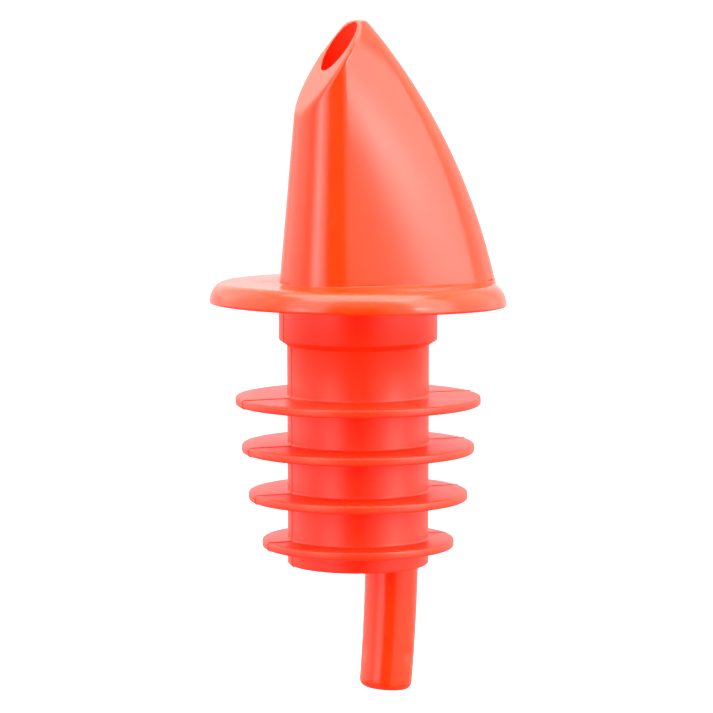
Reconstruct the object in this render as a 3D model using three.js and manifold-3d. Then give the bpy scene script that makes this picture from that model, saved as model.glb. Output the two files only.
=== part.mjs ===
// A free-flow liquor pour spout: a hollow beak welded to a flange, a finned stopper that the flange's
// spigot plugs into, and a breather tube with a check ball caged in its lower end.
//
// Millimetres. +Z is up, +X is the side that the spout pours to, and the part is symmetric about
// the XZ plane. The origin is on the stopper's axis, at the flange's flat underside, which is the
// face that rests on a bottle's lip.

import * as THREE from 'three';
import { mergeVertices } from 'three/addons/utils/BufferGeometryUtils.js';
import Module from 'manifold-3d';

const wasm = await Module();
wasm.setup();

// ---------------------------------------------------------------- driving dimensions

const ROUND = 64; // facets of a large circle
const SMALL_ROUND = 32; // facets of a small circle
const HOLE_ROUND = 16; // facets of a drilled hole or a pip
const SEATED_GAP = 0.05; // between two pieces that rest on each other
const OVERLAP = 0.2; // how far two solids of one moulding run into each other before they are joined
const CUT_PAST = 1; // how far a cutting solid runs past the surface that it cuts
const BEYOND = 80; // larger than the whole part

const flange = {
  radius: 15.87,
  thickness: 2.28,
  rimWidth: 1.75, // the rim is rounded from the top all the way down to its sharp lower edge
  recessRadius: 8.68, // seat for the stopper's collar in the underside
  recessDepth: 0.4,
  plinthHeight: 0.12,
  plinthStep: 0.04, // how far the plinth stands out past the beak
  spigotRadius: 6.88,
  spigotWall: 0.86,
  spigotLength: 4.2,
};

const stopper = {
  collarRadius: 8.48,
  collarBottom: -4.36,
  collarChamfer: 0.5,
  neckTopRadius: 7.6,
  neckBottomRadius: 7.56,
  bottom: -28,
  bottomChamfer: 0.18,
  boreRadius: 6.96,
  finRadii: [13.14, 12.46, 11.74, 10.29],
  firstFinZ: -10.36,
  finPitch: 5.12,
  finThickness: 0.88,
  finEdge: 0.2, // chamfer on a fin's rim
};

const beak = {
  baseZ: flange.thickness + flange.plinthHeight + SEATED_GAP,
  topZ: 30.12,
  frontX: 2.3, // the axis of the conical front
  frontBaseRadius: 6.22,
  frontDraft: 0.088, // how much the front radius shrinks per millimetre of height
  creaseAngle: THREE.MathUtils.degToRad(79), // where the round front meets the side
  sideBow: THREE.MathUtils.degToRad(4.5), // how far each end of a side turns away from its chord
  rearBaseRadius: 6.0,
  rearDraft: 0.128,
  ridgeBaseX: -15.35, // the rear ridge runs from its base to its top along an arc
  ridgeTopX: -0.75,
  ridgeBulge: 1.98,
  faceLow: new THREE.Vector2(6.8, 20.54), // the slanted face's lowest and highest points, x and z
  faceHigh: new THREE.Vector2(0.38, 30.12),
  wall: 1.15,
};

// The pouring duct is an oval that narrows upwards. Each end gives its front x, rear x and half width.
const duct = {
  low: { z: beak.baseZ, front: 7.2, rear: -0.3, halfWidth: 4.9 },
  high: { z: 31.24, front: 2.97, rear: 0.45, halfWidth: 2.4 },
};

const airChamber = {
  frontX: -1.25, // the partition's rear surface
  topZ: 24.5,
  holeRadius: 0.9, // of the air hole through the rear ridge
  holeLength: 5,
  holeZ: 6.5,
};

const liquidPort = { x: 2.6, halfLength: 2.9, halfWidth: 4.4 };

const tube = {
  x: -3.94,
  topZ: beak.baseZ - 2 * SEATED_GAP,
  topRadius: 2.96,
  bottomRadius: 2.83,
  bottomZ: -41.89,
  tipRadius: 0.85, // rounding of the formed end
  boreRadius: 2.05,
  tipHoleRadius: 1.0,
  tipWall: 0.8,
  socketGap: 0.06, // between the tube and the hole it is pressed into
  bendZ: -23.76, // the tube curves towards the axis below this height
  bendRate: 0.0024, // sideways millimetres per square millimetre of depth below the bend
  pips: 3,
  pipZ: -37.8,
  pipRadius: 0.6,
  pipReach: 1.35, // distance from the tube's axis to a pip's tip
};

const ball = {
  radius: 25.4 / 16, // a one-eighth inch ball
  seatGap: 0.06,
};

// ---------------------------------------------------------------- geometry helpers

const point = (x, y) => new THREE.Vector2(x, y);

// A solid of revolution about Z from a closed profile of (radius, z) points.
function turned(profile, facets = ROUND) {
  const geometry = new THREE.LatheGeometry([...profile, profile[0]], facets);
  return geometry.rotateX(Math.PI / 2);
}

// Points of a circular arc in the profile plane, both ends included. Angles are in degrees.
function arc(centreX, centreY, radius, fromDegrees, toDegrees, steps) {
  const points = [];
  for (let i = 0; i <= steps; i += 1) {
    const angle = THREE.MathUtils.degToRad(fromDegrees + ((toDegrees - fromDegrees) * i) / steps);
    points.push(point(centreX + radius * Math.cos(angle), centreY + radius * Math.sin(angle)));
  }
  return points;
}

// A closed upright solid whose plan outline changes with height. outlineAt(z) returns `count` points,
// anticlockwise. A plain cylinder gives the mesh, and each of its vertices moves to the outline.
function lofted(outlineAt, lowZ, highZ, count, levels) {
  const geometry = new THREE.CylinderGeometry(1, 1, highZ - lowZ, count, levels);
  geometry.rotateX(Math.PI / 2).translate(0, 0, (lowZ + highZ) / 2);
  const position = geometry.attributes.position;
  for (let i = 0; i < position.count; i += 1) {
    const [x, y, z] = [position.getX(i), position.getY(i), position.getZ(i)];
    const outline = outlineAt(z);
    if (Math.hypot(x, y) < 0.5) {
      const middle = outline.reduce((sum, p) => sum.add(p), point(0, 0)).divideScalar(count);
      position.setXY(i, middle.x, middle.y);
    } else {
      const turn = THREE.MathUtils.euclideanModulo(Math.atan2(y, x) / (2 * Math.PI), 1);
      const place = outline[Math.round(turn * count) % count];
      position.setXY(i, place.x, place.y);
    }
  }
  return geometry;
}

function solidOf(geometry) {
  const bare = geometry.clone();
  bare.deleteAttribute('normal');
  bare.deleteAttribute('uv');
  const merged = mergeVertices(bare, 1e-5);
  const vertProperties = new Float32Array(merged.attributes.position.array);
  const triVerts = new Uint32Array(merged.index.array);
  return new wasm.Manifold(new wasm.Mesh({ numProp: 3, vertProperties, triVerts }));
}

function geometryOf(solid) {
  const mesh = solid.getMesh();
  const geometry = new THREE.BufferGeometry();
  geometry.setAttribute('position', new THREE.BufferAttribute(mesh.vertProperties, 3));
  geometry.setIndex(new THREE.BufferAttribute(mesh.triVerts, 1));
  geometry.computeVertexNormals();
  return geometry;
}

function upright(radius, lowZ, highZ, x = 0, facets = SMALL_ROUND) {
  const geometry = new THREE.CylinderGeometry(radius, radius, highZ - lowZ, facets);
  return geometry.rotateX(Math.PI / 2).translate(x, 0, (lowZ + highZ) / 2);
}

// ---------------------------------------------------------------- the beak's plan outline

const OUTLINE = { front: 24, side: 4, rear: 20 }; // segments along each stretch of the outline
const OUTLINE_COUNT = OUTLINE.front + 2 * OUTLINE.side + OUTLINE.rear;

// The rear ridge's x at a height: an arc of a circle through the ridge's base and top.
function ridgeX(z) {
  const base = point(beak.ridgeBaseX, beak.baseZ);
  const top = point(beak.ridgeTopX, beak.topZ);
  const halfChord = base.distanceTo(top) / 2;
  const radius = (halfChord ** 2 + beak.ridgeBulge ** 2) / (2 * beak.ridgeBulge);
  const along = top.clone().sub(base).normalize();
  const inward = point(along.y, -along.x);
  const centre = base.clone().add(top).multiplyScalar(0.5);
  centre.addScaledVector(inward, radius - beak.ridgeBulge);
  return centre.x - Math.sqrt(radius ** 2 - (z - centre.y) ** 2);
}

// A round front, two slightly bowed sides that start at the creases, and a round rear that they run
// into. inset moves the whole outline inwards.
function beakOutline(z, inset = 0) {
  const height = z - beak.baseZ;
  const frontRadius = beak.frontBaseRadius - beak.frontDraft * height - inset;
  const rearRadius = beak.rearBaseRadius - beak.rearDraft * height - inset;
  const rearX = ridgeX(z) + inset + rearRadius;

  const crease = point(Math.cos(beak.creaseAngle), Math.sin(beak.creaseAngle));
  crease.multiplyScalar(frontRadius).add(point(beak.frontX, 0));
  const fromRear = crease.clone().sub(point(rearX, 0));
  const chordFoot = Math.acos(Math.min(1, (rearRadius * Math.cos(beak.sideBow)) / fromRear.length()));
  const tangent = fromRear.angle() + chordFoot + beak.sideBow;

  const outline = [];
  for (let i = 0; i < OUTLINE.front; i += 1) {
    const angle = beak.creaseAngle * ((2 * i) / OUTLINE.front - 1);
    outline.push(point(beak.frontX + frontRadius * Math.cos(angle), frontRadius * Math.sin(angle)));
  }
  const touch = point(rearX + rearRadius * Math.cos(tangent), rearRadius * Math.sin(tangent));
  const chord = touch.clone().sub(crease);
  const onSide = (share) => {
    const bow = Math.tan(beak.sideBow) * share * (1 - share);
    return point(crease.x + chord.x * share + chord.y * bow, crease.y + chord.y * share - chord.x * bow);
  };
  for (let i = 0; i < OUTLINE.side; i += 1) {
    outline.push(onSide(i / OUTLINE.side));
  }
  for (let i = 0; i < OUTLINE.rear; i += 1) {
    const angle = tangent + (2 * (Math.PI - tangent) * i) / OUTLINE.rear;
    outline.push(point(rearX + rearRadius * Math.cos(angle), rearRadius * Math.sin(angle)));
  }
  for (let i = OUTLINE.side; i > 0; i -= 1) {
    const mirrored = onSide(i / OUTLINE.side);
    outline.push(point(mirrored.x, -mirrored.y));
  }
  return outline;
}

// ---------------------------------------------------------------- sub-parts

// A block above the slanted face, which trims the beak to it.
function aboveFace() {
  const along = beak.faceHigh.clone().sub(beak.faceLow);
  const block = new THREE.BoxGeometry(BEYOND, BEYOND, BEYOND).translate(0, 0, BEYOND / 2);
  block.rotateY(-Math.atan2(along.y, along.x) + Math.PI);
  return block.translate(beak.faceLow.x, 0, beak.faceLow.y);
}

function ductOutline(z) {
  const share = (z - duct.low.z) / (duct.high.z - duct.low.z);
  const front = THREE.MathUtils.lerp(duct.low.front, duct.high.front, share);
  const rear = THREE.MathUtils.lerp(duct.low.rear, duct.high.rear, share);
  const halfWidth = THREE.MathUtils.lerp(duct.low.halfWidth, duct.high.halfWidth, share);
  const outline = [];
  for (let i = 0; i < SMALL_ROUND; i += 1) {
    const angle = (2 * Math.PI * i) / SMALL_ROUND;
    const x = (front + rear) / 2 + ((front - rear) / 2) * Math.cos(angle);
    outline.push(point(x, halfWidth * Math.sin(angle)));
  }
  return outline;
}

function airChamberSolid() {
  const inside = (z) => beakOutline(z, beak.wall);
  const levels = 8;
  const hollow = lofted(inside, beak.baseZ - CUT_PAST, airChamber.topZ, OUTLINE_COUNT, levels);
  const inFront = new THREE.BoxGeometry(BEYOND, BEYOND, BEYOND);
  inFront.translate(airChamber.frontX + BEYOND / 2, 0, 0);
  return solidOf(hollow).subtract(solidOf(inFront));
}

function spoutShell() {
  const outside = (z) => beakOutline(z);
  const levels = 16;
  const passage = lofted(ductOutline, beak.baseZ - CUT_PAST, duct.high.z, SMALL_ROUND, 1);
  const { holeRadius, holeLength, holeZ } = airChamber;
  const airHole = new THREE.CylinderGeometry(holeRadius, holeRadius, holeLength, HOLE_ROUND);
  airHole.rotateZ(Math.PI / 2).translate(ridgeX(holeZ), 0, holeZ);
  const shell = solidOf(lofted(outside, beak.baseZ, beak.topZ, OUTLINE_COUNT, levels))
    .subtract(solidOf(aboveFace()))
    .subtract(solidOf(passage))
    .subtract(airChamberSolid())
    .subtract(solidOf(airHole));
  return geometryOf(shell);
}

function plinth() {
  const outline = () => beakOutline(beak.baseZ, -flange.plinthStep);
  const topZ = flange.thickness + flange.plinthHeight;
  return lofted(outline, flange.recessDepth + OVERLAP, topZ, OUTLINE_COUNT, 1);
}

function flangePlate() {
  const spigotInside = flange.spigotRadius - flange.spigotWall;
  const rim = arc(0, 0, 1, 0, 90, 8).map((p) =>
    point(flange.radius - flange.rimWidth * (1 - p.x), flange.thickness * p.y),
  );
  const disc = turned([
    point(spigotInside, -flange.spigotLength),
    point(flange.spigotRadius, -flange.spigotLength),
    point(flange.spigotRadius, flange.recessDepth),
    point(flange.recessRadius, flange.recessDepth),
    point(flange.recessRadius, 0),
    ...rim,
    point(spigotInside, flange.thickness),
  ]);
  const web = upright(spigotInside + OVERLAP, flange.recessDepth, flange.thickness, 0, ROUND);
  const aboveTop = flange.thickness + flange.plinthHeight + CUT_PAST;
  const port = upright(1, flange.recessDepth - CUT_PAST, aboveTop);
  port.scale(liquidPort.halfLength, liquidPort.halfWidth, 1).translate(liquidPort.x, 0, 0);
  const belowSpigot = -flange.spigotLength - CUT_PAST;
  const tubeHole = upright(tube.topRadius + tube.socketGap, belowSpigot, aboveTop, tube.x);
  const plate = solidOf(disc)
    .add(solidOf(web))
    .add(solidOf(plinth()))
    .subtract(solidOf(port))
    .subtract(solidOf(tubeHole));
  return geometryOf(plate);
}

function neckRadius(z) {
  const share = (z - stopper.collarBottom) / (stopper.bottom - stopper.collarBottom);
  return THREE.MathUtils.lerp(stopper.neckTopRadius, stopper.neckBottomRadius, share);
}

// One fin's outline from its upper root, round its rim, to its lower root.
function finProfile(radius, middleZ) {
  const topZ = middleZ + stopper.finThickness / 2;
  const bottomZ = middleZ - stopper.finThickness / 2;
  return [
    point(neckRadius(topZ), topZ),
    point(radius - stopper.finEdge, topZ),
    point(radius, topZ - stopper.finEdge),
    point(radius, bottomZ + stopper.finEdge),
    point(radius - stopper.finEdge, bottomZ),
    point(neckRadius(bottomZ), bottomZ),
  ];
}

function finnedStopper() {
  const collarTop = flange.recessDepth - SEATED_GAP;
  const chamferTop = stopper.collarBottom + stopper.collarChamfer;
  const fins = stopper.finRadii.flatMap((radius, i) =>
    finProfile(radius, stopper.firstFinZ - i * stopper.finPitch),
  );
  const profile = [
    point(stopper.boreRadius, collarTop),
    point(stopper.collarRadius, collarTop),
    point(stopper.collarRadius, chamferTop),
    point(neckRadius(stopper.collarBottom), stopper.collarBottom),
    ...fins,
    point(stopper.neckBottomRadius, stopper.bottom + stopper.bottomChamfer),
    point(stopper.neckBottomRadius - stopper.bottomChamfer, stopper.bottom),
    point(stopper.boreRadius, stopper.bottom),
  ];
  return turned(profile.reverse());
}

// Moves an upright tube to its place and curves it towards the stopper's axis below bendZ. Each of
// its sections leans to stay square to the curve.
function bent(geometry) {
  const position = geometry.attributes.position;
  for (let i = 0; i < position.count; i += 1) {
    const [x, z] = [position.getX(i), position.getZ(i)];
    const depth = Math.max(0, tube.bendZ - z);
    const lean = Math.atan(2 * tube.bendRate * depth);
    position.setX(i, tube.x + tube.bendRate * depth ** 2 + x * Math.cos(lean));
    position.setZ(i, z + x * Math.sin(lean));
  }
  geometry.computeVertexNormals();
  return geometry;
}

const seatTopZ = tube.bottomZ + tube.tipWall + (tube.boreRadius - tube.tipHoleRadius);

function ventTube() {
  const tipCentreR = tube.bottomRadius - tube.tipRadius;
  const tipCentreZ = tube.bottomZ + tube.tipRadius;
  const straightOutside = [];
  const straightInside = [];
  const levels = 7; // along the curved stretch
  for (let i = 0; i <= levels; i += 1) {
    const z = THREE.MathUtils.lerp(tipCentreZ, tube.bendZ, i / levels);
    const share = (z - tube.topZ) / (tipCentreZ - tube.topZ);
    straightOutside.push(point(THREE.MathUtils.lerp(tube.topRadius, tube.bottomRadius, share), z));
    const insideZ = THREE.MathUtils.lerp(seatTopZ, tube.bendZ, i / levels);
    straightInside.unshift(point(tube.boreRadius, insideZ));
  }
  const profile = [
    point(tube.tipHoleRadius, tube.bottomZ),
    ...arc(tipCentreR, tipCentreZ, tube.tipRadius, -90, -15, 4),
    ...straightOutside,
    point(tube.topRadius, tube.topZ),
    point(tube.boreRadius, tube.topZ),
    ...straightInside,
    point(tube.tipHoleRadius, tube.bottomZ + tube.tipWall),
  ];
  let solid = solidOf(turned(profile, SMALL_ROUND));
  for (let i = 0; i < tube.pips; i += 1) {
    const pip = new THREE.SphereGeometry(tube.pipRadius, HOLE_ROUND, HOLE_ROUND / 2);
    pip.translate(tube.pipReach + tube.pipRadius, 0, tube.pipZ);
    solid = solid.add(solidOf(pip.rotateZ((i * 2 * Math.PI) / tube.pips)));
  }
  return bent(geometryOf(solid));
}

// The ball rests in the tube's conical seat, whose wall slopes at 45 degrees. It is made upright and
// then moved with its centre, so that it stays round.
function ventBall() {
  const z = seatTopZ - tube.boreRadius + Math.SQRT2 * ball.radius + ball.seatGap;
  const centre = new THREE.BufferGeometry().setFromPoints([new THREE.Vector3(0, 0, z)]);
  const place = bent(centre).attributes.position;
  const geometry = new THREE.SphereGeometry(ball.radius, SMALL_ROUND, HOLE_ROUND);
  return geometry.rotateX(Math.PI / 2).translate(place.getX(0), 0, place.getZ(0));
}

// ---------------------------------------------------------------- assembly

const plastic = () => new THREE.MeshStandardMaterial({ color: 0xff5238, roughness: 0.38, metalness: 0 });
const steel = () => new THREE.MeshStandardMaterial({ color: 0xc9ccd0, roughness: 0.2, metalness: 1 });

function named(name, geometry, material) {
  const mesh = new THREE.Mesh(geometry, material);
  mesh.name = name;
  return mesh;
}

const pourSpout = new THREE.Group();
pourSpout.name = 'pour_spout';
pourSpout.add(
  named('spout_shell', spoutShell(), plastic()),
  named('flange_plate', flangePlate(), plastic()),
  named('finned_stopper', finnedStopper(), plastic()),
  named('vent_tube', ventTube(), plastic()),
  named('vent_ball', ventBall(), steel()),
);

export default pourSpout;
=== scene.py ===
"""A neon orange-red free-flow liquor pour spout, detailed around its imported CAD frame.

Sizes in this file are millimetres, in the part's own frame: +Z up, +X the side it pours to, and the
origin on the stopper's axis at the flange's underside. Meshes are scaled to metres as they are made.
"""

import math

import bpy
import numpy as np
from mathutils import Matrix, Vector


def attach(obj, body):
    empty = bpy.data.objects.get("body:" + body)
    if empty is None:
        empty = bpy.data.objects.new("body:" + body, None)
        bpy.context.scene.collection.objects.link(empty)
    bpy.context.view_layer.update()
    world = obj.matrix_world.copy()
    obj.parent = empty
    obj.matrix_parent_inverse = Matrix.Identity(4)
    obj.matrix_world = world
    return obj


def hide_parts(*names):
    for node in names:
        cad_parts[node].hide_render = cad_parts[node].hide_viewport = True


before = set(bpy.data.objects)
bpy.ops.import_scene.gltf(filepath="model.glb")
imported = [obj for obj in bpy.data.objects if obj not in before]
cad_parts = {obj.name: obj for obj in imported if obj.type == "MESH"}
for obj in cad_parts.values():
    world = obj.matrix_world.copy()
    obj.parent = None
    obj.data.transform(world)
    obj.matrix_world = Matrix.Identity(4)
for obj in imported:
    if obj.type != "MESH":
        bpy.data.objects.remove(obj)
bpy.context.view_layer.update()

MM = 0.001
CUT_PAST = 0.5  # how far a cutting solid reaches past what it cuts
SOFT_EDGE = 0.1  # the small chamfer of a moulded edge

# ------------------------------------------------------------------ sizes of the real piece

FLANGE_RADIUS = 15.87
FLANGE_THICKNESS = 2.28
FLANGE_RIM = 1.75  # width of the rounded rim, which falls from the top to a sharp lower edge
FLANGE_FLAT_RADIUS, FLANGE_LOWER_EDGE = 12.0, 0.08
RECESS_RADIUS, RECESS_DEPTH = 8.68, 0.4
PLINTH_HEIGHT, PLINTH_STEP = 0.12, 0.04
PLINTH_FILLET, PLINTH_SUNK = 0.08, 0.01
SEAM_GAP, WELD_HEIGHT, WELD_MARGIN = 0.006, 0.07, 0.004
SPIGOT_RADIUS, SPIGOT_WALL, SPIGOT_LENGTH, SPIGOT_CHAMFER = 6.88, 0.86, 4.2, 0.2
SEATED_GAP = 0.05

COLLAR_RADIUS, COLLAR_BOTTOM, COLLAR_CHAMFER = 8.48, -4.36, 0.5
NECK_TOP_RADIUS, NECK_BOTTOM_RADIUS = 7.6, 7.56
STOPPER_BOTTOM, STOPPER_ROUNDING = -28.0, 0.18
BORE_RADIUS = 6.96
FIN_RADII = (13.14, 12.46, 11.74, 10.29)
FIRST_FIN_Z, FIN_PITCH, FIN_THICKNESS = -10.36, 5.12, 0.88
FIN_EDGE, FIN_ROOT = 0.2, 0.3  # radii of the rounded rim and of the fillet at the neck
SEAM_HALFWIDTH = 0.008  # of the parting line's ridge, as an angle about the stopper's axis
SEAM_HEIGHT = 0.07

BEAK_BASE_Z = FLANGE_THICKNESS + PLINTH_HEIGHT + SEATED_GAP
BEAK_TOP_Z = 30.12
FRONT_X, FRONT_RADIUS, FRONT_DRAFT = 2.3, 6.22, 0.088
CREASE_ANGLE = math.radians(79)
SIDE_BOW = math.radians(4.5)  # how far each end of a side turns away from the side's chord
REAR_RADIUS, REAR_DRAFT = 6.0, 0.128
RIDGE_BASE_X, RIDGE_TOP_X, RIDGE_BULGE = -15.35, -0.75, 1.98
FACE_LOW = (6.8, 20.54)
FACE_HIGH = (0.38, 30.12)
BEAK_WALL = 1.15
CREASE_ROUNDING = 0.3  # how far the rounded crease reaches round the front, each way
ABOVE_BEAK = BEAK_TOP_Z + 1.6  # above where any outline meets the slanted face
FACE_CENTRE_X = 2.0
WALL_ROUNDING, FACE_ROUNDING, LIP = 0.9, 0.5, 0.15
APEX_RISE, APEX_SOFTNESS = 0.14, 0.12  # how the apex is blunted above the beak's top

DUCT_LOW = {"z": BEAK_BASE_Z, "front": 7.2, "rear": -0.3, "half_width": 4.9}
DUCT_HIGH = {"z": 31.24, "front": 2.97, "rear": 0.45, "half_width": 2.4}
AIR_CHAMBER_FRONT_X, AIR_CHAMBER_TOP_Z = -1.25, 24.5
AIR_HOLE_RADIUS, AIR_HOLE_Z = 0.9, 6.5
AIR_HOLE_REACH = (2, 3)  # of the cut, outwards and inwards from the ridge
PORT_X, PORT_HALF_LENGTH, PORT_HALF_WIDTH = 2.6, 2.9, 4.4

TUBE_X, TUBE_TOP_Z, TUBE_BOTTOM_Z = -3.94, BEAK_BASE_Z - 2 * SEATED_GAP, -41.89
TUBE_TOP_RADIUS, TUBE_BOTTOM_RADIUS, TUBE_BORE = 2.96, 2.83, 2.05
TUBE_TIP_RADIUS, TUBE_TIP_HOLE, TUBE_TIP_WALL = 0.85, 1.0, 0.8
TUBE_SOCKET_GAP = 0.06
TUBE_BEND_Z, TUBE_BEND_RATE = -23.76, 0.0024
PIP_COUNT, PIP_Z, PIP_REACH, PIP_DENT = 3, -37.8, 1.35, 0.16
PIP_HALF_WIDTH, PIP_HALF_HEIGHT = 0.55, 0.5
BALL_RADIUS, BALL_SEAT_GAP = 25.4 / 16, 0.06


# ------------------------------------------------------------------ mesh helpers

def mesh_piece(name, points, faces, sharp_degrees=40):
    """An object from points in millimetres, smooth shaded except across edges sharper than the angle."""
    mesh = bpy.data.meshes.new(name)
    mesh.from_pydata((np.asarray(points, float) * MM).tolist(), [], faces)
    mesh.validate()
    mesh.shade_smooth()
    mesh.set_sharp_from_angle(angle=math.radians(sharp_degrees))
    piece = bpy.data.objects.new(name, mesh)
    bpy.context.scene.collection.objects.link(piece)
    return piece


def grid_faces(rows, columns, close_rows):
    """Quads over a grid of points whose columns run round in a loop, and its rows too if close_rows."""
    faces = []
    for r in range(rows if close_rows else rows - 1):
        for c in range(columns):
            here, up = r * columns, ((r + 1) % rows) * columns
            right = (c + 1) % columns
            faces.append((here + c, here + right, up + right, up + c))
    return faces


def ring_piece(name, rings, close_rings=False, sharp_degrees=40):
    """A closed surface through rings of equal length: capped at both ends, or joined end to end."""
    rings = np.asarray(rings, float)
    rows, columns = rings.shape[:2]
    faces = grid_faces(rows, columns, close_rings)
    if not close_rings:
        faces.append(tuple(reversed(range(columns))))
        faces.append(tuple((rows - 1) * columns + c for c in range(columns)))
    return mesh_piece(name, rings.reshape(-1, 3), faces, sharp_degrees)


def arc(centre, radius, start, end, steps):
    """Points of a circular arc from start to end degrees, both included."""
    turn = np.radians(np.linspace(start, end, steps + 1))
    return [(centre[0] + radius * math.cos(a), centre[1] + radius * math.sin(a)) for a in turn]


def turned_rings(profile, angles):
    """One ring per profile point (radius, z), at the given angles about Z."""
    profile = np.asarray(profile, float)
    radius, z = profile[:, 0, None], profile[:, 1, None]
    flat = np.broadcast_to(z, (len(profile), len(angles)))
    return np.stack([radius * np.cos(angles), radius * np.sin(angles), flat], axis=-1)


def even_angles(count):
    return np.linspace(0, 2 * math.pi, count, endpoint=False)


def combine(piece, other, operation):
    """Joins or cuts piece by other, which is used up."""
    step = piece.modifiers.new(operation.lower(), "BOOLEAN")
    step.object, step.operation, step.solver = other, operation, "EXACT"
    bpy.context.view_layer.objects.active = piece
    bpy.ops.object.modifier_apply(modifier=step.name)
    bpy.data.objects.remove(other)
    return piece


def bezier_rings(start, corner, end, steps):
    """Rings that round a corner, from just after start to just before end."""
    rings = []
    for t in np.linspace(0, 1, steps + 2)[1:-1]:
        rings.append((1 - t) ** 2 * start + 2 * t * (1 - t) * corner + t**2 * end)
    return rings


def along(points, towards, distance):
    """Each point moved a distance towards its partner."""
    step = towards - points
    return points + distance * step / np.linalg.norm(step, axis=-1, keepdims=True)


# ------------------------------------------------------------------ the beak

def ridge_x(z):
    """The rear ridge's x at a height: an arc through the ridge's base and top."""
    base = np.array([RIDGE_BASE_X, BEAK_BASE_Z])
    top = np.array([RIDGE_TOP_X, BEAK_TOP_Z])
    half_chord = np.linalg.norm(top - base) / 2
    radius = (half_chord**2 + RIDGE_BULGE**2) / (2 * RIDGE_BULGE)
    step = (top - base) / (2 * half_chord)
    centre = (base + top) / 2 + np.array([step[1], -step[0]]) * (radius - RIDGE_BULGE)
    return centre[0] - np.sqrt(radius**2 - (z - centre[1]) ** 2)


def beak_columns(front=64, crease=4, side=16, rear=56):
    """The columns round the beak: which stretch of its plan each is on, and how far along it."""
    half = [("front", t) for t in np.linspace(0, 1, front // 2 + 1)]
    half += [("crease", t) for t in np.linspace(0, 1, crease + 2)[1:-1]]
    half += [("side", t) for t in np.linspace(0, 1, side)]
    half += [("rear", t) for t in np.linspace(0, 1, rear // 2 + 1)[1:]]
    mirrored = [(stretch, t, -1) for stretch, t in reversed(half[1:-1])]
    return [(stretch, t, 1) for stretch, t in half] + mirrored


def beak_point(column, z, inset=0.0):
    """The point of the beak's plan outline on a column, at a height."""
    stretch, t, hand = column
    height = z - BEAK_BASE_Z
    front_radius = FRONT_RADIUS - FRONT_DRAFT * height - inset
    rear_radius = REAR_RADIUS - REAR_DRAFT * height - inset
    rear_x = ridge_x(z) + inset + rear_radius
    crease_cut = CREASE_ROUNDING / front_radius  # as an angle on the front's arc

    crease_x = FRONT_X + front_radius * math.cos(CREASE_ANGLE)
    crease_y = front_radius * math.sin(CREASE_ANGLE)
    reach = math.hypot(crease_x - rear_x, crease_y)
    chord_foot = math.acos(min(1.0, rear_radius * math.cos(SIDE_BOW) / reach))
    tangent = math.atan2(crease_y, crease_x - rear_x) + chord_foot + SIDE_BOW
    touch_x = rear_x + rear_radius * math.cos(tangent)
    touch_y = rear_radius * math.sin(tangent)

    def on_front(share):
        angle = (CREASE_ANGLE - crease_cut) * share
        return FRONT_X + front_radius * math.cos(angle), front_radius * math.sin(angle)

    def on_side(share):
        share = 0.03 + 0.97 * share
        chord_x, chord_y = touch_x - crease_x, touch_y - crease_y
        bow = math.tan(SIDE_BOW) * share * (1 - share)
        return crease_x + chord_x * share + chord_y * bow, crease_y + chord_y * share - chord_x * bow

    if stretch == "front":
        x, y = on_front(t)
    elif stretch == "side":
        x, y = on_side(t)
    elif stretch == "crease":
        (ax, ay), (bx, by) = on_front(1), on_side(0)
        x = (1 - t) ** 2 * ax + 2 * t * (1 - t) * crease_x + t**2 * bx
        y = (1 - t) ** 2 * ay + 2 * t * (1 - t) * crease_y + t**2 * by
    else:
        angle = tangent + (math.pi - tangent) * t
        x, y = rear_x + rear_radius * math.cos(angle), rear_radius * math.sin(angle)
    return np.array([x, hand * y, z])


def beak_ring(columns, z, inset=0.0):
    return np.array([beak_point(column, z, inset) for column in columns])


def face_height(x):
    """Height of the slanted face's plane above a point."""
    slope = (FACE_HIGH[1] - FACE_LOW[1]) / (FACE_HIGH[0] - FACE_LOW[0])
    return FACE_LOW[1] + slope * (x - FACE_LOW[0])


def first_crossing(low, high, is_past):
    """The height at which is_past(z) turns true, by halving."""
    for _ in range(40):
        middle = (low + high) / 2
        if is_past(middle):
            high = middle
        else:
            low = middle
    return low


def beak_edge_height(column):
    """Where a column of the outer wall meets the slanted face or, at the apex, the blunt top."""
    def is_above_face(z):
        return z > face_height(beak_point(column, z)[0])

    face = first_crossing(BEAK_BASE_Z, ABOVE_BEAK, is_above_face)
    top = BEAK_TOP_Z + APEX_RISE
    sum_of_both = math.exp(-face / APEX_SOFTNESS) + math.exp(-top / APEX_SOFTNESS)
    return -APEX_SOFTNESS * math.log(sum_of_both)


def duct_point(angle, z):
    """The point of the pouring duct's oval at an angle and a height."""
    share = (z - DUCT_LOW["z"]) / (DUCT_HIGH["z"] - DUCT_LOW["z"])
    front = DUCT_LOW["front"] + (DUCT_HIGH["front"] - DUCT_LOW["front"]) * share
    rear = DUCT_LOW["rear"] + (DUCT_HIGH["rear"] - DUCT_LOW["rear"]) * share
    half_width = DUCT_LOW["half_width"] + (DUCT_HIGH["half_width"] - DUCT_LOW["half_width"]) * share
    x = (front + rear) / 2 + (front - rear) / 2 * math.cos(angle)
    return np.array([x, half_width * math.sin(angle), z])


def orifice_height(angle):
    """Where the duct's wall meets the slanted face."""
    def is_above_face(z):
        return z > face_height(duct_point(angle, z)[0])

    return first_crossing(BEAK_BASE_Z, ABOVE_BEAK, is_above_face)


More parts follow.
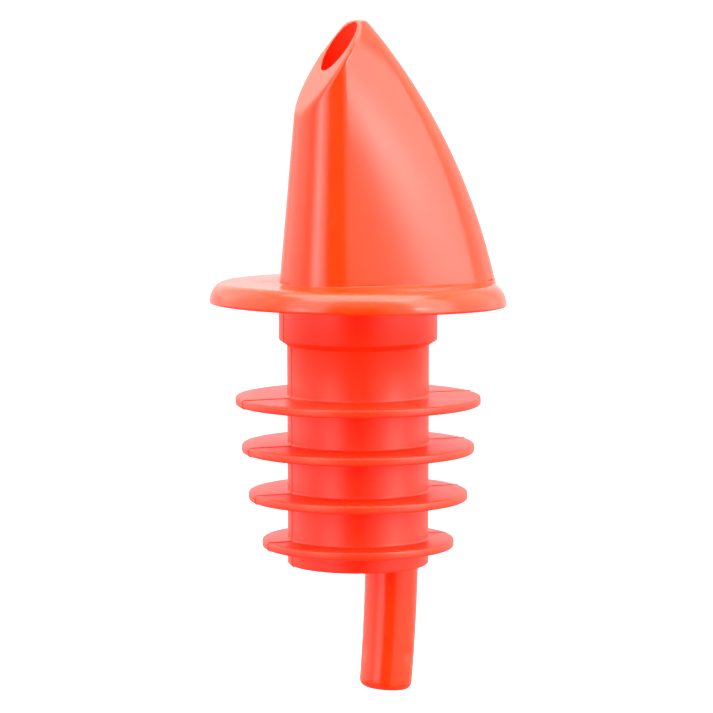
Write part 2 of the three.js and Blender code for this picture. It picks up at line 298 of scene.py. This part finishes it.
def beak_shell():
    """Outer wall, slanted face, orifice and duct as one skin, with the air chamber cut into it."""
    columns = beak_columns()
    edge_heights = [beak_edge_height(column) for column in columns]
    edge = np.array([beak_point(c, z) for c, z in zip(columns, edge_heights)])
    angles = np.arctan2(edge[:, 1], edge[:, 0] - FACE_CENTRE_X)
    mouth_heights = [orifice_height(angle) for angle in angles]
    mouth = np.array([duct_point(a, z) for a, z in zip(angles, mouth_heights)])

    def wall_ring(share):
        heights = [BEAK_BASE_Z + (z - BEAK_BASE_Z) * share for z in edge_heights]
        return np.array([beak_point(c, z) for c, z in zip(columns, heights)])

    def duct_ring(share):
        heights = [z + (BEAK_BASE_Z - z) * share for z in mouth_heights]
        return np.array([duct_point(a, z) for a, z in zip(angles, heights)])

    base = wall_ring(0)
    wall_levels = np.linspace(0.02, 0.94, 40)
    wall_end = along(edge, wall_ring(0.9), WALL_ROUNDING)
    face_start, face_end = along(edge, mouth, FACE_ROUNDING), along(mouth, edge, LIP)
    duct_start = along(mouth, duct_ring(0.05), LIP)

    rings = [base] + [wall_ring(share) for share in wall_levels]
    rings += [wall_end]
    rings += bezier_rings(wall_end, edge, face_start, 6)
    rings += [face_start]
    rings += [face_start + (face_end - face_start) * t for t in (0.25, 0.5, 0.75)]
    rings += [face_end]
    rings += bezier_rings(face_end, mouth, duct_start, 4)
    rings += [duct_start]
    first_inner_face = (len(rings) - 1) * len(columns)
    rings += [duct_ring(share) for share in np.linspace(0.06, 1, 24)]
    shell = ring_piece("beak_shell", rings, close_rings=True)
    # The duct's inside faces take the second material, the painted-shade copy of the plastic.
    for polygon in shell.data.polygons[first_inner_face:]:
        polygon.material_index = 1

    shell = combine(shell, air_chamber(columns), "DIFFERENCE")
    return combine(shell, air_hole(), "DIFFERENCE")


def air_chamber(columns):
    """The hollow behind the partition, as a solid to cut with."""
    rings = []
    for z in np.linspace(BEAK_BASE_Z - CUT_PAST, AIR_CHAMBER_TOP_Z, 16):
        ring = beak_ring(columns, z, BEAK_WALL)
        ring[:, 0] = np.minimum(ring[:, 0], AIR_CHAMBER_FRONT_X)
        rings.append(ring)
    return ring_piece("air_chamber", rings)


def air_hole():
    """The round air hole in the rear ridge, as a solid to cut with."""
    angles = even_angles(32)
    middle_x = ridge_x(AIR_HOLE_Z)
    rings = []
    for x in (middle_x - AIR_HOLE_REACH[0], middle_x + AIR_HOLE_REACH[1]):
        y = AIR_HOLE_RADIUS * np.cos(angles)
        z = AIR_HOLE_Z + AIR_HOLE_RADIUS * np.sin(angles)
        rings.append(np.stack([np.full_like(y, x), y, z], axis=-1))
    return ring_piece("air_hole", rings)


# ------------------------------------------------------------------ the flange

def weld_line(columns):
    """How far the plinth's top edge is rounded off, column by column: the weld shows in places only."""
    turn = np.arange(len(columns)) * 2 * math.pi / len(columns)
    dashes = np.clip(np.sin(5 * turn + 0.6) + np.sin(13 * turn) - 0.5, 0, 1)
    return WELD_HEIGHT * dashes + WELD_MARGIN


def plinth():
    """The raised foot under the beak: its sides carry on the beak's, and end in a small fillet."""
    columns = beak_columns()
    top_z = BEAK_BASE_Z - SEAM_GAP
    fillet_top = FLANGE_THICKNESS + PLINTH_FILLET
    weld = weld_line(columns)
    stations = [(top_z, PLINTH_STEP - 2.5 * weld), (top_z - weld, PLINTH_STEP)]
    for degrees in np.linspace(0, 90, 8):
        turn = math.radians(degrees)
        out = PLINTH_STEP + FRONT_DRAFT * PLINTH_HEIGHT + PLINTH_FILLET * (1 - math.cos(turn))
        stations.append((fillet_top - PLINTH_FILLET * math.sin(turn) - PLINTH_SUNK, out))
    stations.append((RECESS_DEPTH + 0.2, out))
    rings = []
    for z, out in reversed(stations):
        outs = np.broadcast_to(out, len(columns))
        ring = np.array([beak_point(c, BEAK_BASE_Z, -o) for c, o in zip(columns, outs)])
        ring[:, 2] = z
        rings.append(ring)
    return ring_piece("plinth", rings)


def elliptic_bar(x, half_length, half_width, low_z, high_z):
    """An upright oval bar, to cut a hole with."""
    angles = even_angles(64)
    rings = []
    for z in (low_z, high_z):
        px, py = x + half_length * np.cos(angles), half_width * np.sin(angles)
        rings.append(np.stack([px, py, np.full_like(px, z)], axis=-1))
    return ring_piece("bar", rings)


def flange():
    """Flange, plinth, ports and spigot, as one moulding."""
    inside = SPIGOT_RADIUS - SPIGOT_WALL
    rim = []
    for turn in np.radians(np.linspace(3, 90, 20)):
        in_from_edge = FLANGE_RIM * (1 - math.cos(turn))
        rim.append((FLANGE_RADIUS - in_from_edge, FLANGE_THICKNESS * math.sin(turn)))
    profile = [
        (inside, RECESS_DEPTH),
        (inside, -SPIGOT_LENGTH),
        (SPIGOT_RADIUS - SPIGOT_CHAMFER, -SPIGOT_LENGTH),
        (SPIGOT_RADIUS, -SPIGOT_LENGTH + SPIGOT_CHAMFER),
        (SPIGOT_RADIUS, RECESS_DEPTH),
        (RECESS_RADIUS, RECESS_DEPTH),
        (RECESS_RADIUS, 0.0),
        (FLANGE_FLAT_RADIUS, 0.0),
        (FLANGE_RADIUS - FLANGE_LOWER_EDGE, 0.0),
        *rim,
        (FLANGE_FLAT_RADIUS, FLANGE_THICKNESS),
    ]
    plate = ring_piece("flange", turned_rings(profile, even_angles(192)))
    plate = combine(plate, plinth(), "UNION")
    port = elliptic_bar(PORT_X, PORT_HALF_LENGTH, PORT_HALF_WIDTH, -1, 4)
    plate = combine(plate, port, "DIFFERENCE")
    socket = TUBE_TOP_RADIUS + TUBE_SOCKET_GAP
    tube_hole = elliptic_bar(TUBE_X, socket, socket, -SPIGOT_LENGTH - 1, 4)
    plate = combine(plate, tube_hole, "DIFFERENCE")
    warp_rim(plate)
    return plate


def warp_rim(plate):
    """The thin rim's slight warp, drooping towards -X and -Y. The plinth's top and the seat stay flat."""
    droop_x, droop_y, sag, start = 0.24, 0.09, 0.04, RECESS_RADIUS + 0.8
    for vertex in plate.data.vertices:
        x, y, z = vertex.co / MM
        outwards = max(0.0, (math.hypot(x, y) - start) / (FLANGE_RADIUS - start))
        upwards = min(1.0, max(0.0, (z - FLANGE_THICKNESS) / PLINTH_HEIGHT))
        shift = droop_x * x / FLANGE_RADIUS + droop_y * y / FLANGE_RADIUS - sag
        vertex.co.z += shift * outwards * (1 - upwards) * MM


# ------------------------------------------------------------------ the stopper

def neck_radius(z):
    """The tapered neck's radius at a height."""
    share = (z - COLLAR_BOTTOM) / (STOPPER_BOTTOM - COLLAR_BOTTOM)
    return NECK_TOP_RADIUS + (NECK_BOTTOM_RADIUS - NECK_TOP_RADIUS) * share


def fin_profile(radius, middle_z):
    """One fin from its upper root, round its rim, to its lower root."""
    top, bottom = middle_z + FIN_THICKNESS / 2, middle_z - FIN_THICKNESS / 2
    neck = neck_radius(middle_z)
    flat_start, flat_end = neck + 0.5, radius - 1.2
    return [
        (neck, top + FIN_ROOT),
        *arc((neck + FIN_ROOT, top + FIN_ROOT), FIN_ROOT, 190, 265, 6),
        (flat_start, top),
        (flat_end, top),
        *arc((radius - FIN_EDGE, top - FIN_EDGE), FIN_EDGE, 90, 0, 4),
        *arc((radius - FIN_EDGE, bottom + FIN_EDGE), FIN_EDGE, 0, -90, 4),
        (flat_end, bottom),
        (flat_start, bottom),
        *arc((neck + FIN_ROOT, bottom - FIN_ROOT), FIN_ROOT, 95, 170, 6),
        (neck, bottom - FIN_ROOT),
    ]


def seam_angles(count):
    """Even angles, with closer ones across the mould's parting plane at 0 and 180 degrees."""
    close = np.array([-2, -1, -0.5, 0, 0.5, 1, 2]) * SEAM_HALFWIDTH
    spaced = [a for a in even_angles(count) if abs(math.sin(a)) > 2.5 * SEAM_HALFWIDTH]
    return np.sort(np.concatenate([spaced, close % (2 * math.pi), close + math.pi]))


def outward_normals(profile):
    """Unit normals of a closed anticlockwise profile at its points."""
    before, after = np.roll(profile, 1, axis=0), np.roll(profile, -1, axis=0)
    along_it = after - before
    normals = np.stack([along_it[:, 1], -along_it[:, 0]], axis=-1)
    return normals / np.linalg.norm(normals, axis=1, keepdims=True)


def stopper():
    """Collar, neck and fins in one moulding, with the mould's parting line as a fine raised ridge."""
    chamfer_top = COLLAR_BOTTOM + COLLAR_CHAMFER
    neck_top = neck_radius(COLLAR_BOTTOM)
    collar_top = RECESS_DEPTH - SEATED_GAP
    fins = []
    for i, radius in enumerate(FIN_RADII):
        fins += fin_profile(radius, FIRST_FIN_Z - i * FIN_PITCH)
    foot_centre = (NECK_BOTTOM_RADIUS - STOPPER_ROUNDING, STOPPER_BOTTOM + STOPPER_ROUNDING)
    outside = [
        (COLLAR_RADIUS, collar_top),
        (COLLAR_RADIUS, chamfer_top + SOFT_EDGE),
        (COLLAR_RADIUS - SOFT_EDGE / 2, chamfer_top),
        (neck_top + SOFT_EDGE, COLLAR_BOTTOM + SOFT_EDGE / 2),
        (neck_top, COLLAR_BOTTOM - SOFT_EDGE),
        *fins,
        *arc(foot_centre, STOPPER_ROUNDING, 0, -90, 5),
    ]
    profile = np.array(outside + [(BORE_RADIUS, STOPPER_BOTTOM), (BORE_RADIUS, collar_top)])[::-1]
    angles = seam_angles(192)
    ridge = SEAM_HEIGHT * np.clip(1 - (np.abs(np.sin(angles)) / SEAM_HALFWIDTH) ** 2, 0, 1)
    is_outside = (profile[:, 0] > BORE_RADIUS)[:, None]
    normals = outward_normals(profile)
    rings = turned_rings(profile, angles)
    rings[..., 0] += is_outside * ridge * normals[:, :1] * np.cos(angles)
    rings[..., 2] += is_outside * ridge * normals[:, 1:]
    return ring_piece("stopper", rings, close_rings=True)


# ------------------------------------------------------------------ the breather tube and its ball

def bent(points):
    """Points of the upright tube moved to where its curve towards the stopper's axis takes them."""
    x, y, z = points[..., 0], points[..., 1], points[..., 2]
    depth = np.maximum(0, TUBE_BEND_Z - z)
    lean = np.arctan(2 * TUBE_BEND_RATE * depth)
    middle_x = TUBE_X + TUBE_BEND_RATE * depth**2
    return np.stack([middle_x + x * np.cos(lean), y, z + x * np.sin(lean)], axis=-1)


SEAT_TOP_Z = TUBE_BOTTOM_Z + TUBE_TIP_WALL + (TUBE_BORE - TUBE_TIP_HOLE)


def vent_tube():
    """The breather tube: its tip formed in round a hole, its pips pressed in, its lower part curved."""
    tip_z = TUBE_BOTTOM_Z + TUBE_TIP_RADIUS
    outside, inside = [], []
    for z in np.linspace(tip_z, TUBE_TOP_Z - 0.15, 90):
        share = (z - TUBE_TOP_Z) / (tip_z - TUBE_TOP_Z)
        outside.append((TUBE_TOP_RADIUS + (TUBE_BOTTOM_RADIUS - TUBE_TOP_RADIUS) * share, z))
    for z in np.linspace(TUBE_TOP_Z, SEAT_TOP_Z, 60):
        inside.append((TUBE_BORE, z))
    profile = [
        (TUBE_TIP_HOLE, TUBE_BOTTOM_Z + SOFT_EDGE),
        (TUBE_TIP_HOLE + SOFT_EDGE, TUBE_BOTTOM_Z),
        *arc((TUBE_BOTTOM_RADIUS - TUBE_TIP_RADIUS, tip_z), TUBE_TIP_RADIUS, -90, -8, 10),
        *outside,
        (TUBE_TOP_RADIUS - SOFT_EDGE, TUBE_TOP_Z),
        *inside,
        (TUBE_TIP_HOLE, TUBE_BOTTOM_Z + TUBE_TIP_WALL),
    ]
    angles = even_angles(96)
    rings = turned_rings(profile, angles)
    rings = pressed_pips(rings, angles)
    return ring_piece("breather_tube", bent(rings), close_rings=True)


def pressed_pips(rings, angles):
    """Dents in the tube's wall where three pips are pressed in to cage the ball."""
    radius = np.hypot(rings[..., 0], rings[..., 1])
    for i in range(PIP_COUNT):
        turn = (angles - i * 2 * math.pi / PIP_COUNT + math.pi) % (2 * math.pi) - math.pi
        across = turn[None, :] * radius
        up = rings[..., 2] - PIP_Z
        dent = np.exp(-((across / PIP_HALF_WIDTH) ** 2) - (up / PIP_HALF_HEIGHT) ** 2)
        is_inside = radius < TUBE_BORE + 0.01
        depth = np.where(is_inside, TUBE_BORE - PIP_REACH, PIP_DENT) * dent
        scale = (radius - depth) / radius
        rings[..., 0] *= scale
        rings[..., 1] *= scale
        radius = np.hypot(rings[..., 0], rings[..., 1])
    return rings


def vent_ball():
    """The check ball, resting just above the seat in the tube's tip."""
    z = SEAT_TOP_Z - TUBE_BORE + math.sqrt(2) * BALL_RADIUS + BALL_SEAT_GAP
    latitudes = np.radians(np.linspace(-86, 86, 30))
    profile = [(BALL_RADIUS * math.cos(a), z + BALL_RADIUS * math.sin(a)) for a in latitudes]
    rings = turned_rings(profile, even_angles(48))
    rings[..., 0] += bent(np.array([0.0, 0.0, z]))[0]
    return ring_piece("check_ball", rings)


# ------------------------------------------------------------------ materials

# How far roughness varies each way. Where it crosses about 0.27, a denoised render shows outlines.
POLISH_SPREAD = 0.06


def plastic(name, roughness, gloss, light, dark, painted_glow):
    """Translucent neon polyethylene with a painted red glow, an emission that keeps it bright red in shade,
    and its colour and polish vary in clouds.
    """
    material = bpy.data.materials.new(name)
    material.use_nodes = True
    nodes, links = material.node_tree.nodes, material.node_tree.links
    shader = nodes["Principled BSDF"]
    shader.inputs["IOR"].default_value = 1.5
    shader.inputs["Subsurface Weight"].default_value = 0.5
    shader.inputs["Subsurface Radius"].default_value = (1.0, 0.2, 0.1)
    shader.inputs["Subsurface Scale"].default_value = 0.002
    shader.inputs["Specular IOR Level"].default_value = gloss
    # Painted glow: a constant red emission that stands in for light, keeping the plastic bright red even in
    # shade.
    shader.inputs["Emission Color"].default_value = (*painted_glow, 1.0)
    shader.inputs["Emission Strength"].default_value = 0.32

    place = nodes.new("ShaderNodeTexCoord")
    clouds = nodes.new("ShaderNodeTexNoise")
    clouds.inputs["Scale"].default_value = 90.0
    clouds.inputs["Detail"].default_value = 4.0
    tint = nodes.new("ShaderNodeMix")
    tint.data_type = "RGBA"
    tint.inputs["A"].default_value = (*dark, 1.0)
    tint.inputs["B"].default_value = (*light, 1.0)
    links.new(place.outputs["Object"], clouds.inputs["Vector"])
    links.new(clouds.outputs["Fac"], tint.inputs["Factor"])
    links.new(tint.outputs["Result"], shader.inputs["Base Color"])

    smear = nodes.new("ShaderNodeTexNoise")
    smear.inputs["Scale"].default_value = 170.0
    smear.inputs["Detail"].default_value = 3.0
    polish = nodes.new("ShaderNodeMapRange")
    polish.inputs["To Min"].default_value = roughness - POLISH_SPREAD
    polish.inputs["To Max"].default_value = roughness + POLISH_SPREAD
    links.new(place.outputs["Object"], smear.inputs["Vector"])
    links.new(smear.outputs["Fac"], polish.inputs["Value"])
    links.new(polish.outputs["Result"], shader.inputs["Roughness"])

    grain = nodes.new("ShaderNodeTexNoise")
    grain.inputs["Scale"].default_value = 1600.0
    bump = nodes.new("ShaderNodeBump")
    bump.inputs["Strength"].default_value = 0.012
    bump.inputs["Distance"].default_value = 0.0001
    links.new(place.outputs["Object"], grain.inputs["Vector"])
    links.new(grain.outputs["Fac"], bump.inputs["Height"])
    links.new(bump.outputs["Normal"], shader.inputs["Normal"])
    return material


def steel():
    """Steel whose polish is slightly uneven."""
    material = bpy.data.materials.new("polished_steel")
    material.use_nodes = True
    nodes, links = material.node_tree.nodes, material.node_tree.links
    shader = nodes["Principled BSDF"]
    shader.inputs["Base Color"].default_value = (0.62, 0.63, 0.65, 1.0)
    shader.inputs["Metallic"].default_value = 1.0
    place = nodes.new("ShaderNodeTexCoord")
    unevenness = nodes.new("ShaderNodeTexNoise")
    unevenness.inputs["Scale"].default_value = 2500.0
    roughness = nodes.new("ShaderNodeMapRange")
    roughness.inputs["To Min"].default_value = 0.14
    roughness.inputs["To Max"].default_value = 0.26
    links.new(place.outputs["Object"], unevenness.inputs["Vector"])
    links.new(unevenness.outputs["Fac"], roughness.inputs["Value"])
    links.new(roughness.outputs["Result"], shader.inputs["Roughness"])
    return material


# ------------------------------------------------------------------ stage, light and camera

VIEW_AZIMUTH = 21.5  # how far the pouring side is turned towards the camera, degrees
CAMERA_DISTANCE = 359.7
CAMERA_RISE = 38.06
AIM = Vector((0.0, 0.0, -5.717))
AIM_LEFT = 0.17  # how far left of the axis the camera points
TOWARDS_CAMERA = Vector((math.sin(math.radians(VIEW_AZIMUTH)), math.cos(math.radians(VIEW_AZIMUTH)), 0))
CAMERA_RIGHT = Vector((-TOWARDS_CAMERA.y, TOWARDS_CAMERA.x, 0))


def camera():
    """A long lens on the +Y side, a little above the part."""
    data = bpy.data.cameras.new("camera")
    data.lens = 170.75
    data.sensor_width = 36.0
    data.clip_start, data.clip_end = 0.01, 400.0
    view = bpy.data.objects.new("camera", data)
    bpy.context.scene.collection.objects.link(view)
    aim = (AIM - CAMERA_RIGHT * AIM_LEFT) * MM
    view.location = aim + (TOWARDS_CAMERA * CAMERA_DISTANCE + Vector((0, 0, CAMERA_RISE))) * MM
    view.rotation_euler = (view.location - aim).to_track_quat("Z", "Y").to_euler()
    bpy.context.scene.camera = view


def view_direction(degrees_right, degrees_up):
    """A direction from the part, measured from the camera's side of it."""
    turn, rise = math.radians(degrees_right), math.radians(degrees_up)
    level = TOWARDS_CAMERA * math.cos(turn) + CAMERA_RIGHT * math.sin(turn)
    return level * math.cos(rise) + Vector((0, 0, math.sin(rise)))


def softbox(name, degrees_right, degrees_up, wide, high, radiance):
    """A soft rectangular light that faces the part, wide and high degrees across as the part sees it."""
    distance = 0.7
    width = 2 * distance * math.tan(math.radians(wide / 2))
    height = 2 * distance * math.tan(math.radians(high / 2))
    data = bpy.data.lights.new(name, "AREA")
    data.shape, data.size, data.size_y = "RECTANGLE", width, height
    data.energy = radiance * math.pi * width * height
    light = bpy.data.objects.new(name, data)
    bpy.context.scene.collection.objects.link(light)
    light.location = view_direction(degrees_right, degrees_up) * distance
    light.rotation_euler = light.location.to_track_quat("Z", "Y").to_euler()
    light.visible_camera = False


def backdrop():
    """A pale floor and far wall in one sweep. Only the camera sees it, so it lights nothing."""
    radius, floor_z, wall_top = 150e3, -121, 150e3
    sweep = [(radius + 5, floor_z - 5), (radius + 5, wall_top), (radius, wall_top), (radius, floor_z)]
    piece = ring_piece("backdrop", turned_rings(sweep, even_angles(64)))
    material = bpy.data.materials.new("pale_sweep")
    material.use_nodes = True
    shader = material.node_tree.nodes["Principled BSDF"]
    shader.inputs["Base Color"].default_value = (0.5, 0.5, 0.5, 1.0)
    shader.inputs["Roughness"].default_value = 1.0
    shader.inputs["Specular IOR Level"].default_value = 0.0
    shader.inputs["Emission Color"].default_value = (1.0, 1.0, 1.0, 1.0)
    shader.inputs["Emission Strength"].default_value = 0.75
    piece.data.materials.append(material)
    piece.visible_diffuse = piece.visible_glossy = piece.visible_shadow = piece.visible_transmission = False


def map_range(nodes, smooth, value_from, value_to):
    """A node that turns one range of values into another, evenly or smoothly."""
    node = nodes.new("ShaderNodeMapRange")
    node.interpolation_type = "SMOOTHSTEP" if smooth else "LINEAR"
    node.inputs["From Min"].default_value, node.inputs["From Max"].default_value = value_from
    node.inputs["To Min"].default_value, node.inputs["To Max"].default_value = value_to
    return node


def math_node(nodes, operation):
    """A node that works out one operation on two numbers."""
    node = nodes.new("ShaderNodeMath")
    node.operation = operation
    return node


def studio():
    """White surroundings, dim near the ground and dark in a gap on the camera's side, with softboxes."""
    world = bpy.data.worlds.new("studio")
    world.use_nodes = True
    nodes, links = world.node_tree.nodes, world.node_tree.links
    direction = nodes.new("ShaderNodeTexCoord")
    parts = nodes.new("ShaderNodeSeparateXYZ")
    links.new(direction.outputs["Generated"], parts.inputs["Vector"])
    from_ground = map_range(nodes, False, (-0.4, -0.12), (0.4, 1.05))
    links.new(parts.outputs["Z"], from_ground.inputs["Value"])

    gap_middle = view_direction(-2.5, 0)
    level = nodes.new("ShaderNodeVectorMath")
    level.operation = "MULTIPLY"
    level.inputs[1].default_value = (1.0, 1.0, 0.0)
    heading = nodes.new("ShaderNodeVectorMath")
    heading.operation = "NORMALIZE"
    towards_gap = nodes.new("ShaderNodeVectorMath")
    towards_gap.operation = "DOT_PRODUCT"
    towards_gap.inputs[1].default_value = gap_middle
    gap_edge = (math.cos(math.radians(30)), math.cos(math.radians(16)))
    across = map_range(nodes, True, gap_edge, (0.0, 0.98))
    below = map_range(nodes, True, (0.35, 0.6), (1.0, 0.0))
    gap = math_node(nodes, "MULTIPLY")
    rest = math_node(nodes, "SUBTRACT")
    rest.inputs[0].default_value = 1.0
    strength = math_node(nodes, "MULTIPLY")
    links.new(direction.outputs["Generated"], level.inputs[0])
    links.new(level.outputs["Vector"], heading.inputs[0])
    links.new(heading.outputs["Vector"], towards_gap.inputs[0])
    links.new(towards_gap.outputs["Value"], across.inputs["Value"])
    links.new(parts.outputs["Z"], below.inputs["Value"])
    links.new(across.outputs["Result"], gap.inputs[0])
    links.new(below.outputs["Result"], gap.inputs[1])
    links.new(gap.outputs["Value"], rest.inputs[1])
    links.new(from_ground.outputs["Result"], strength.inputs[0])
    links.new(rest.outputs["Value"], strength.inputs[1])

    background = nodes["Background"]
    background.inputs["Color"].default_value = (1.0, 1.0, 1.0, 1.0)
    links.new(strength.outputs["Value"], background.inputs["Strength"])
    bpy.context.scene.world = world

    softbox("left_softbox", -42, 24, 32, 68, 2.1)
    softbox("left_core", -44, 10, 10, 12, 4.0)
    softbox("right_softbox", 63, 28, 32, 72, 3.9)
    softbox("right_core", 50, 17, 8, 10, 11.0)
    softbox("top_softbox", 0, 84, 60, 50, 4.5)
    softbox("left_fill", -104, 18, 56, 56, 0.8)
    softbox("right_fill", 108, 18, 54, 56, 0.8)
    softbox("back_softbox", -150, 32, 70, 44, 0.5)
    bpy.context.scene.view_settings.view_transform = "Standard"


# ------------------------------------------------------------------ assembly

outer = plastic(
    "neon_plastic", roughness=0.2, gloss=0.5,
    light=(1.0, 0.058, 0.004), dark=(1.0, 0.04, 0.003), painted_glow=(1.0, 0.0, 0.0),
)
# Rougher copy of the plastic for the stopper. Its lower green is painted shade, making the stopper a deeper
# red as if shaded under the flange.
matte_painted_shade = plastic(
    "neon_plastic_matte_painted_shade", roughness=0.4, gloss=0.56,
    light=(1.0, 0.04, 0.001), dark=(1.0, 0.028, 0.0005), painted_glow=(1.0, 0.0, 0.0),
)
# Darker, duller copy of the plastic for the inside of the duct: painted shade with a faint orange painted
# glow, where the real duct is dark from shadow.
duct_painted_shade = plastic(
    "neon_plastic_duct_painted_shade", roughness=0.8, gloss=0.1,
    light=(0.9, 0.016, 0.002), dark=(0.8, 0.012, 0.002), painted_glow=(1.0, 0.014, 0.001),
)
pieces = [
    (beak_shell(), "spout", "spout_shell", "plastic", (outer, duct_painted_shade)),
    (flange(), "spout", "flange_plate", "plastic", (outer,)),
    (stopper(), "stopper", "finned_stopper", "plastic", (matte_painted_shade,)),
    (vent_tube(), "spout", "vent_tube", "plastic", (outer,)),
    (vent_ball(), "ball", "vent_ball", "steel", (steel(),)),
]
for piece, body, node, slot, materials in pieces:
    for material in materials:
        piece.data.materials.append(material)
    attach(piece, body)
    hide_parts(node)

backdrop()
studio()
camera()
